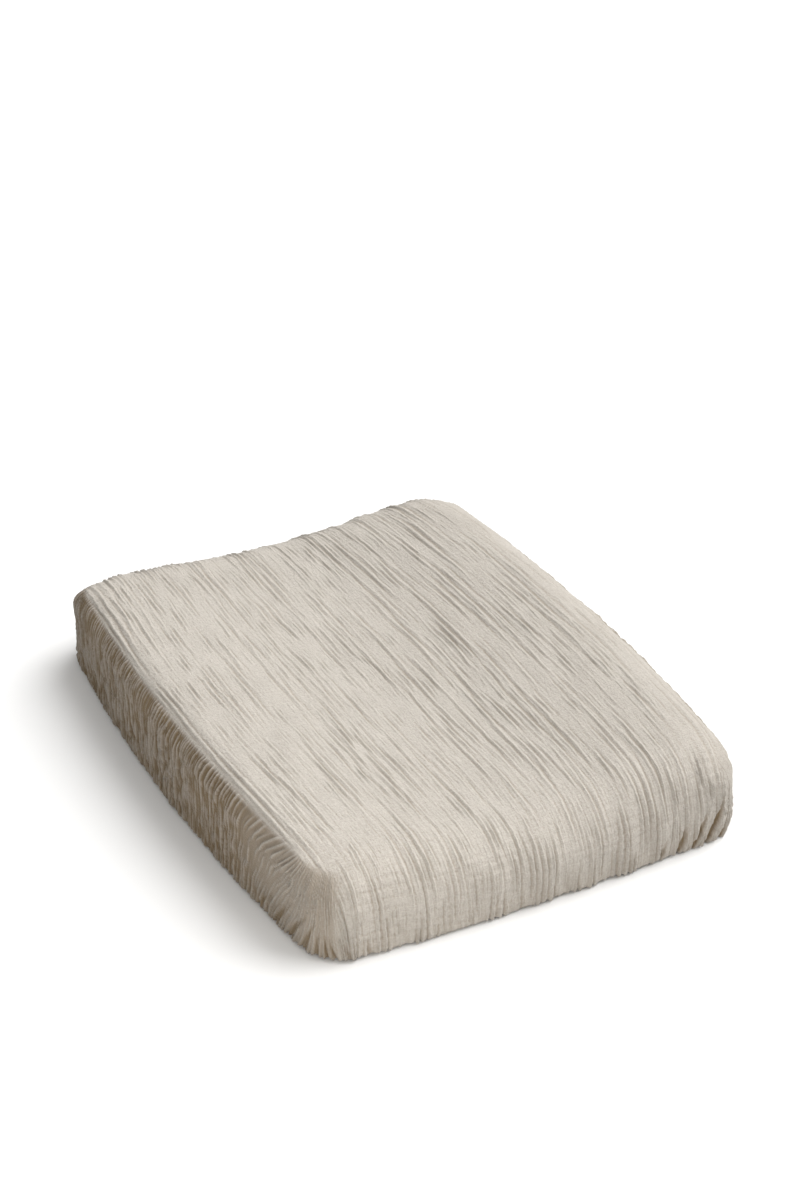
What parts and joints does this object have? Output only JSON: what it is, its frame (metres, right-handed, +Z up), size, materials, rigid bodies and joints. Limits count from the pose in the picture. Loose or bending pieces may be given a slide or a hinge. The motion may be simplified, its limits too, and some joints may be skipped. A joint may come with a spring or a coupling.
{
  "type": "contoured baby changing mat with fitted muslin cover",
  "caption": "Contoured foam changing mat in a wipe-clean film, with a fitted crinkled muslin cover gathered under its edge by an elastic hem.",
  "frame": {"origin": "centre of the base, on the surface that the mat lies on", "axes": "+Z up, +Y along the mat's length, +X across its width"},
  "size_m": [0.5094, 0.6492, 0.1079],
  "materials": {
    "foam": "open-cell polyurethane foam, cream",
    "film": "satin wipe-clean coated film, off-white",
    "film_base": "satin coated film, off-white",
    "film_weld": "welded film edge, off-white",
    "muslin": "crinkled cotton double gauze, warm beige, unbleached",
    "muslin_hem": "crinkled cotton double gauze, gathered, warm beige",
    "elastic": "braided elastic, off-white",
    "label": "plain woven satin tape, blank"
  },
  "bodies": {
    "mat": {"foam_core": "foam", "liner_top": "film", "liner_base": "film_base", "liner_weld": "film_weld"},
    "cover": {"muslin_cover": "muslin", "hem_channel": "muslin_hem", "hem_elastic": "elastic", "care_label": "label"}
  },
  "joints": [
    {"name": "cover_lift", "type": "slide", "parent": "mat", "child": "cover", "axis": [0, 0, 1], "range_m": [0, 0.16], "deforming": ["hem_channel", "hem_elastic", "care_label"]}
  ]
}
